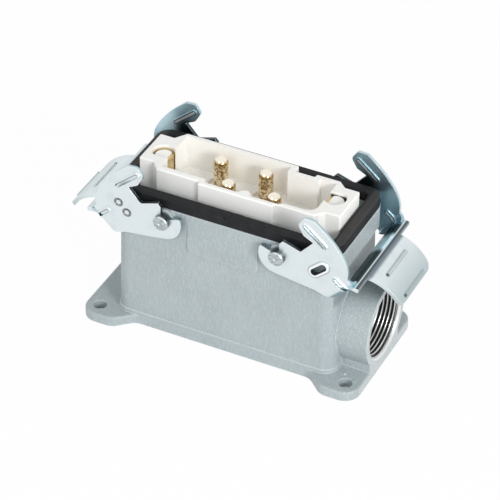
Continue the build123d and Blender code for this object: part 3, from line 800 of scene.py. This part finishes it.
@dataclass(frozen=True)
class CreamMoulding:
    """Cream glass-filled moulding with a soft sheen and faint flow marks. Its edges and inner
    corners carry a pale painted highlight and its front wall is painted duller as painted
    shade. The cramped gaps round the earth posts are painted brown as painted shade and, at
    the left end, gold as painted reflection of the brass."""

    colour: Colour = (0.91, 0.90, 0.865)
    warm: Colour = (0.905, 0.892, 0.85)
    # Painted highlight on edges and inner corners.
    edge_highlight: Colour = (0.965, 0.96, 0.94)
    # Painted shade: the duller colour of the front wall.
    side_shade: Colour = (0.79, 0.79, 0.77)
    # Painted shade in the gaps round the earth posts, and at the left post a painted reflection of the
    # brass.
    shade: Colour = (0.030, 0.018, 0.010)
    cast: Colour = (0.62, 0.50, 0.28)
    flow: Grain = Grain(10.0 * MM, 3.0, (0.5, 1.0, 1.6))
    skin: Grain = Grain(0.9 * MM)
    flow_span: Span = (0.4, 0.7)
    edge_highlight_reach: float = 0.5 * MM
    edge_highlight_span: Span = (0.03, 0.2)
    front_y: float = -11.0 * MM
    front_shade_share: float = 0.95
    post: Place = (35.2 * MM, 1.2 * MM)
    gap_rise: Span = (0.00325, 0.00345)
    gap_fall: Span = (0.0045, 0.0047)
    gap_top: Span = (67.4 * MM, 68.6 * MM)
    gap_floor: float = 56.7 * MM
    side_top: float = 68.6 * MM
    roughness: float = 0.42
    skin_rough: float = 0.12
    skin_depth: float = 0.02 * MM
    edge: float = 0.35 * MM

    def make(self) -> Any:
        """Build the moulding.

        Returns:
            The material.
        """
        material, sheet = finish_material("cream_moulding")
        skin = sheet.noise(self.skin)
        colour = sheet.mix(self.colour, self.warm, sheet.noise(self.flow).ramp(*self.flow_span))
        # Painted highlight on edges and inner corners.
        colour = sheet.mix(colour, self.edge_highlight, sheet.edges(self.edge_highlight_reach).ramp(*self.edge_highlight_span))
        x, y, z = sheet.spot()
        reach = (x.size() - self.post[0]).hypot(y * x.sign() - self.post[1])
        # Painted shade in the gaps round the earth posts, gold painted reflection at the left one.
        gap = reach.band(self.gap_rise, self.gap_fall) * z.fade(*self.gap_top) * (z > self.gap_floor)
        colour = sheet.mix(colour, sheet.mix(self.cast, self.shade, x > 0.0), gap)
        # Painted shade on the front wall.
        front = (y < self.front_y) * (z < self.side_top)
        sheet.surface({
            "Base Color": sheet.mix(colour, self.side_shade, front * self.front_shade_share),
            "Roughness": self.roughness + self.skin_rough * skin,
            "Specular IOR Level": 0.45,
            "Subsurface Weight": 0.05,
            "Subsurface Scale": 0.001,
            "Normal": sheet.relief(skin, self.skin_depth, self.edge),
        })
        return material


@dataclass(frozen=True)
class GoldPlate:
    """Thin gold over a turned pin. Its dome is painted palest as a painted highlight, the
    dome's foot is painted browner as painted reflection of the dark surroundings and, lower
    down, a cell bump stands for the rough turning, with dark specks that are partly its pits
    and partly painted reflection of the cavity."""

    # Painted highlight: the pale dome.
    colour: Colour = (0.90, 0.84, 0.72)
    # Painted reflection: the browner band round the dome's foot.
    foot_shade: Colour = (0.60, 0.42, 0.18)
    low_tone: Colour = (0.98, 0.83, 0.56)
    # Dark specks, partly the rough turning and partly painted reflection of the cavity.
    speck: Colour = (0.32, 0.18, 0.06)
    cells: Grain = Grain(0.9 * MM, 2.0)
    dome_z: Span = (66.8 * MM, 67.9 * MM)
    foot_z: Span = (65.4 * MM, 66.6 * MM)
    speck_span: Span = (0.50, 0.58)
    speck_share: float = 0.85
    roughness: float = 0.16
    dome_gloss: float = 0.08
    cell_depth: float = 0.04 * MM
    edge: float = 0.15 * MM

    def make(self) -> Any:
        """Build the gold.

        Returns:
            The material.
        """
        material, sheet = finish_material("gold_plate")
        z = sheet.spot()[2]
        dome, cells = z.ramp(*self.dome_z), sheet.noise(self.cells)
        # Painted reflection round the dome's foot, painted highlight on the dome.
        colour = sheet.mix(self.low_tone, self.foot_shade, z.ramp(*self.foot_z))
        colour = sheet.mix(colour, self.colour, dome)
        # Specks below the dome, partly painted reflection of the cavity.
        specks = cells.ramp(*self.speck_span) * (1 - dome)
        sheet.surface({
            "Base Color": sheet.mix(colour, self.speck, specks * self.speck_share),
            "Metallic": 1.0,
            "Roughness": self.roughness - self.dome_gloss * dome,
            "Normal": sheet.relief(cells * (1 - dome), self.cell_depth, self.edge),
        })
        return material


@dataclass(frozen=True)
class TurnedMetal:
    """Metal off the lathe or the screw machine, with fine rings of tool marks."""

    name: str
    colour: Colour
    shade: Colour
    roughness: float
    blotch: Grain = Grain(2.5 * MM, 4.0)
    rings: Grain = Grain(0.6 * MM, 2.0, (0.15, 0.15, 1.0))
    shade_span: Span = (0.42, 0.66)
    blotch_rough: float = 0.08
    ring_depth: float = 0.01 * MM
    edge: float = 0.15 * MM

    def make(self) -> Any:
        """Build the metal.

        Returns:
            The material.
        """
        material, sheet = finish_material(self.name)
        blotch = sheet.noise(self.blotch)
        sheet.surface({
            "Base Color": sheet.mix(self.colour, self.shade, blotch.ramp(*self.shade_span)),
            "Metallic": 1.0,
            "Roughness": self.roughness + self.blotch_rough * blotch,
            "Normal": sheet.relief(sheet.noise(self.rings), self.ring_depth, self.edge),
        })
        return material


# Meshes


def grid_object(name: str, points: np.ndarray, wrap_u: bool, wrap_v: bool) -> Any:
    """Make an object from a grid of points, a surface of two parameters.

    Args:
        name: the piece's name.
        points: array of shape (u, v, 3), in metres.
        wrap_u: whether the last row joins the first.
        wrap_v: whether the last column joins the first.

    Returns:
        The object, shaded smooth and linked to the scene, with its place in its mesh.
    """
    rows, columns = points.shape[:2]
    index = np.arange(rows * columns).reshape(rows, columns)
    if wrap_u:
        index = np.vstack([index, index[:1]])
    if wrap_v:
        index = np.hstack([index, index[:, :1]])
    corners = [index[:-1, :-1], index[1:, :-1], index[1:, 1:], index[:-1, 1:]]
    quads = np.stack(corners, axis=-1).reshape(-1, 4)
    mesh = bpy.data.meshes.new(name)
    mesh.from_pydata(points.reshape(-1, 3), [], quads.tolist())
    mesh.polygons.foreach_set("use_smooth", np.ones(len(quads), dtype=bool))
    mesh.update()
    piece = bpy.data.objects.new(name, mesh)
    bpy.context.scene.collection.objects.link(piece)
    return piece


def dress(node: str, material: Any) -> None:
    """Give a solid of the frame its finish.

    Args:
        node: the solid's name.
        material: the finish.
    """
    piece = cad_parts[node]
    if not piece.material_slots:
        piece.data.materials.append(material)
    for slot in piece.material_slots:
        slot.material = material
    LOG.info("dressed %s in %s", node, material.name)


# Sub-assemblies


@dataclass(frozen=True)
class CableEntry:
    """The machined thread of the cable entry, a closed sleeve whose inside is the thread
    and whose outside has the seat radius.

    The inside's radius is groove radius - (groove radius - crest radius) * ridge, where
    ridge is (1 - wave) * fade. The wave is a triangle wave of (place along X / pitch -
    turn), steepened and cut flat at zero and one. The fade runs out to zero at the mouth.
    """

    start_x: float = 43.3 * MM
    end_x: float = 57.7 * MM
    centre_z: float = 19.3 * MM
    crest_r: float = 13.35 * MM
    groove_r: float = 14.25 * MM
    seat_r: float = 14.31 * MM
    pitch: float = 1.588 * MM
    wave_slope: float = 1.6
    wave_cut: float = 0.3
    run_out: float = 0.8
    around: int = 128
    per_pitch: int = 10
    colour: Colour = (0.72, 0.74, 0.735)
    # Painted shade: the near-black of the groove bottoms.
    shade: Colour = (0.006, 0.006, 0.005)
    groove: Span = (13.5 * MM, 13.85 * MM)
    mouth: Span = (56.8 * MM, 57.2 * MM)
    mouth_share: float = 0.8
    marks: Grain = Grain(0.5 * MM, 2.0, (1.0, 0.2, 0.2))
    roughness: float = 0.26
    mark_rough: float = 0.1
    groove_rough: float = 0.3
    mark_depth: float = 0.01 * MM
    edge: float = 0.1 * MM

    def build(self) -> None:
        """Make the thread, dress it and seat it in the housing."""
        steps = int(self.per_pitch * (self.end_x - self.start_x) / self.pitch)
        along = np.linspace(self.start_x, self.end_x, steps)
        turn = np.arange(self.around) / self.around
        x, t = np.meshgrid(along, turn, indexing="ij")
        phase = np.mod(x / self.pitch - t, 1.0)
        wave = np.clip(self.wave_slope * np.abs(2 * phase - 1) - self.wave_cut, 0.0, 1.0)
        fade = np.clip((self.end_x - x) / (self.run_out * self.pitch), 0.0, 1.0)
        radius = self.groove_r - (self.groove_r - self.crest_r) * (1 - wave) * fade
        radius = np.vstack([radius, np.full((2, self.around), self.seat_r)])
        x = np.vstack([x, np.repeat([[self.end_x], [self.start_x]], self.around, axis=1)])
        angle = 2 * math.pi * np.vstack([t, t[:2]])
        y, z = radius * np.cos(angle), self.centre_z + radius * np.sin(angle)
        points = np.stack([x, y, z], axis=-1)
        piece = grid_object("entry_thread", points, wrap_u=True, wrap_v=True)
        piece.data.materials.append(self._cut_metal())
        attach(piece, "base")
        LOG.info("made entry_thread, %d faces", len(piece.data.polygons))

    def _cut_metal(self) -> Any:
        """Freshly cut aluminium: bright crests, with groove bottoms painted near-black as painted shade.

        Returns:
            The material.
        """
        material, sheet = finish_material("cut_thread")
        x, y, z = sheet.spot()
        # Painted shade in the groove bottoms, fading out at the mouth.
        deep = y.hypot(z - self.centre_z).ramp(*self.groove)
        deep = deep * (1 - self.mouth_share * x.ramp(*self.mouth))
        marks = sheet.noise(self.marks)
        sheet.surface({
            "Base Color": sheet.mix(self.colour, self.shade, deep),
            "Metallic": 1.0 - deep,
            "Roughness": self.roughness + self.mark_rough * marks + self.groove_rough * deep,
            "Normal": sheet.relief(marks, self.mark_depth, self.edge),
        })
        return material


@dataclass(frozen=True)
class Housing:
    """The casting with its threaded entry, studs and rim gasket."""

    coat: CastCoat = CastCoat()
    rubber: GasketRubber = GasketRubber()
    stud_metal: StudPlating = StudPlating()
    entry: CableEntry = CableEntry()

    def build(self) -> None:
        """Dress the housing's solids and cut the thread."""
        dress("housing", self.coat.make())
        dress("rim_gasket", self.rubber.make())
        metal = self.stud_metal.make()
        for depth in ("front", "back"):
            for side in Side:
                dress(f"lever_stud_{depth}_{side.name.lower()}", metal)
        self.entry.build()


@dataclass(frozen=True)
class Levers:
    """The two folded locking levers, whose inner faces carry painted highlights of unequal
    strength and whose lips carry painted shade of unequal strength."""

    left: LeverPlating = LeverPlating(side=Side.LEFT, shine=0.95, lip_shade=0.1)
    right: LeverPlating = LeverPlating()

    def build(self) -> None:
        """Dress each lever in its plating."""
        for plating in (self.left, self.right):
            dress(f"locking_lever_{plating.side.name.lower()}", plating.make())


@dataclass(frozen=True)
class Insert:
    """The moulded insert with its contacts and screws."""

    moulding: CreamMoulding = CreamMoulding()
    gold: GoldPlate = GoldPlate()
    brass: TurnedMetal = TurnedMetal(
        "strip_brass", colour=(0.74, 0.56, 0.27), shade=(0.60, 0.44, 0.20), roughness=0.24
    )
    zinc: TurnedMetal = TurnedMetal(
        "screw_zinc", colour=(0.70, 0.72, 0.73), shade=(0.55, 0.57, 0.58), roughness=0.28
    )

    def build(self) -> None:
        """Dress the insert, its pins, earth contacts and screws."""
        dress("insert_body", self.moulding.make())
        gold, brass, zinc = self.gold.make(), self.brass.make(), self.zinc.make()
        for side in Side:
            end = side.name.lower()
            for depth in ("front", "back"):
                dress(f"power_pin_{depth}_{end}", gold)
                dress(f"terminal_screw_{depth}_{end}", zinc)
                dress(f"insert_screw_{depth}_{end}", zinc)
            dress(f"earth_contact_{end}", brass)
            dress(f"earth_screw_{end}", zinc)


@dataclass(frozen=True)
class Studio:
    """White floor, soft lamps and the camera at the photograph's angle. Lengths are in
    metres where the name says nothing else, and angles in degrees. Each lamp has its
    name, place, side and power in watts. Ambient is the light from the side and above."""

    azimuth: float = 25.52
    elevation: float = 37.13
    roll: float = 0.94
    distance: float = 1.03246
    focal_px: float = 2700.32
    slide: tuple[float, float] = (0.00092, -0.0017)
    target: tuple[float, float, float] = (0.0, 0.0, 0.0357)
    frame_px: int = 500
    sensor_mm: float = 36.0
    floor_half_w: float = 5.0
    floor_columns: int = 3
    floor_front: float = 4.0
    floor_back: float = 2.5
    floor_bend: float = 0.8
    bend_steps: int = 16
    floor_top: float = 2.5
    floor_paint: tuple[float, float, float, float] = (0.80, 0.80, 0.80, 1.0)
    glow_share: float = 0.97
    hole_place: Place = (0.0525, 0.0225)
    hole_shade_r: float = 0.0045
    hole_share: float = 0.9
    sky: tuple[float, float, float, float] = (0.97, 0.985, 1.0, 1.0)
    ambient: tuple[float, float] = (0.90, 0.56)
    lamps: tuple[tuple[str, tuple[float, float, float], float, float], ...] = (
        ("key", (1.44, -0.98, 0.78), 0.5, 20.0),
        ("fill", (-0.35, -1.4, 1.1), 1.0, 5.5),
    )

    def build(self) -> None:
        """Set up the view, the floor, the lamps and the camera."""
        bpy.context.scene.view_settings.view_transform = "Standard"
        self._floor()
        self._world()
        for lamp in self.lamps:
            self._lamp(*lamp)
        self._camera()

    def _floor(self) -> None:
        """A floor that curves up behind: flat up to floor_back, then a quarter circle of
        radius floor_bend, y = back + bend * sin(turn) and z = bend * (1 - cos(turn)), then
        upright."""
        turn = np.linspace(0, math.pi / 2, self.bend_steps)
        back, bend = self.floor_back, self.floor_bend
        y = np.concatenate([[-self.floor_front], back + bend * np.sin(turn), [back + bend]])
        z = np.concatenate([[0.0], bend * (1 - np.cos(turn)), [self.floor_top]])
        x = np.linspace(-self.floor_half_w, self.floor_half_w, self.floor_columns)
        grid_x, grid_y = np.meshgrid(x, y, indexing="ij")
        points = np.stack([grid_x, grid_y, np.broadcast_to(z, grid_x.shape)], axis=-1)
        floor = grid_object("studio_floor", points, wrap_u=False, wrap_v=False)
        floor.data.materials.append(self._floor_white())

    def _floor_white(self) -> Any:
        """A glowing white for the rays that show it, with a trace of real shadow, which is
        strong only at the foot of the four fixing holes. Other rays meet a matt white.

        Returns:
            The material.
        """
        material, sheet = finish_material("studio_white")
        paint = sheet.add("ShaderNodeBsdfDiffuse", {}, {"Color": self.floor_paint})
        glow = sheet.add("ShaderNodeEmission", {}, {"Color": WHITE, "Strength": 1.0})
        x, y, _ = sheet.spot()
        reach = (x.size() - self.hole_place[0]).hypot(y.size() - self.hole_place[1])
        shown = sheet.seen() * (self.glow_share - self.hole_share * (reach < self.hole_shade_r))
        both = sheet.add("ShaderNodeMixShader", {}, {0: shown, 1: paint.outputs[0], 2: glow.outputs[0]})
        sheet.add("ShaderNodeOutputMaterial", {}, {"Surface": both.outputs[0]})
        return material

    def _world(self) -> None:
        """Soft light, less from straight above, that camera and metal see as white."""
        world = bpy.data.worlds.new("studio")
        bpy.context.scene.world = world
        world.use_nodes = True
        sheet = NodeSheet(world.node_tree)
        toward = sheet.add("ShaderNodeTexCoord").outputs["Generated"]
        height = sheet.amount(sheet.add("ShaderNodeSeparateXYZ", {}, {0: toward}), 2).larger(0.0)
        low, high = self.ambient
        strength = low + (high - low) * height
        light = sheet.add("ShaderNodeBackground", {}, {"Color": self.sky, "Strength": strength})
        white = sheet.add("ShaderNodeBackground", {}, {"Color": WHITE, "Strength": 1.0})
        both = sheet.add(
            "ShaderNodeMixShader", {}, {0: sheet.seen(), 1: light.outputs[0], 2: white.outputs[0]}
        )
        sheet.add("ShaderNodeOutputWorld", {}, {"Surface": both.outputs[0]})

    def _lamp(self, name: str, place: tuple[float, float, float], size: float, power: float) -> None:
        """A square softbox that faces the connector.

        Args:
            name: the lamp's name.
            place: where it hangs, in metres.
            size: its side, in metres.
            power: its power, in watts.
        """
        light = bpy.data.lights.new(name, "AREA")
        light.shape, light.size, light.energy = "SQUARE", size, power
        lamp = bpy.data.objects.new(name, light)
        lamp.location = place
        lamp.rotation_euler = (Vector(self.target) - Vector(place)).to_track_quat("-Z", "Y").to_euler()
        bpy.context.scene.collection.objects.link(lamp)

    def _camera(self) -> None:
        """The camera: azimuth from -Y towards +X, elevation up, then roll about its axis."""
        az, el, roll = (math.radians(a) for a in (self.azimuth, self.elevation, self.roll))
        back = Vector((math.sin(az) * math.cos(el), -math.cos(az) * math.cos(el), math.sin(el)))
        flat = Vector((math.cos(az), math.sin(az), 0.0))
        rise = back.cross(flat)
        right = flat * math.cos(roll) + rise * math.sin(roll)
        up = rise * math.cos(roll) - flat * math.sin(roll)
        place = Vector(self.target) + back * self.distance + right * self.slide[0] + up * self.slide[1]
        data = bpy.data.cameras.new("photo_view")
        data.sensor_width = self.sensor_mm
        data.lens = self.focal_px * self.sensor_mm / self.frame_px
        camera = bpy.data.objects.new("photo_view", data)
        turned = Matrix((right, up, back)).transposed().to_4x4()
        camera.matrix_world = Matrix.Translation(place) @ turned
        bpy.context.scene.collection.objects.link(camera)
        bpy.context.scene.camera = camera


def main() -> None:
    """Build every sub-assembly in order and log each one as it is done."""
    logging.basicConfig(level=logging.INFO, format="%(name)s: %(message)s")
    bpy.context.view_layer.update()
    for part in (Studio(), Housing(), Levers(), Insert()):
        part.build()
        LOG.info("%s is done", type(part).__name__)


if __name__ == "__main__":
    main()
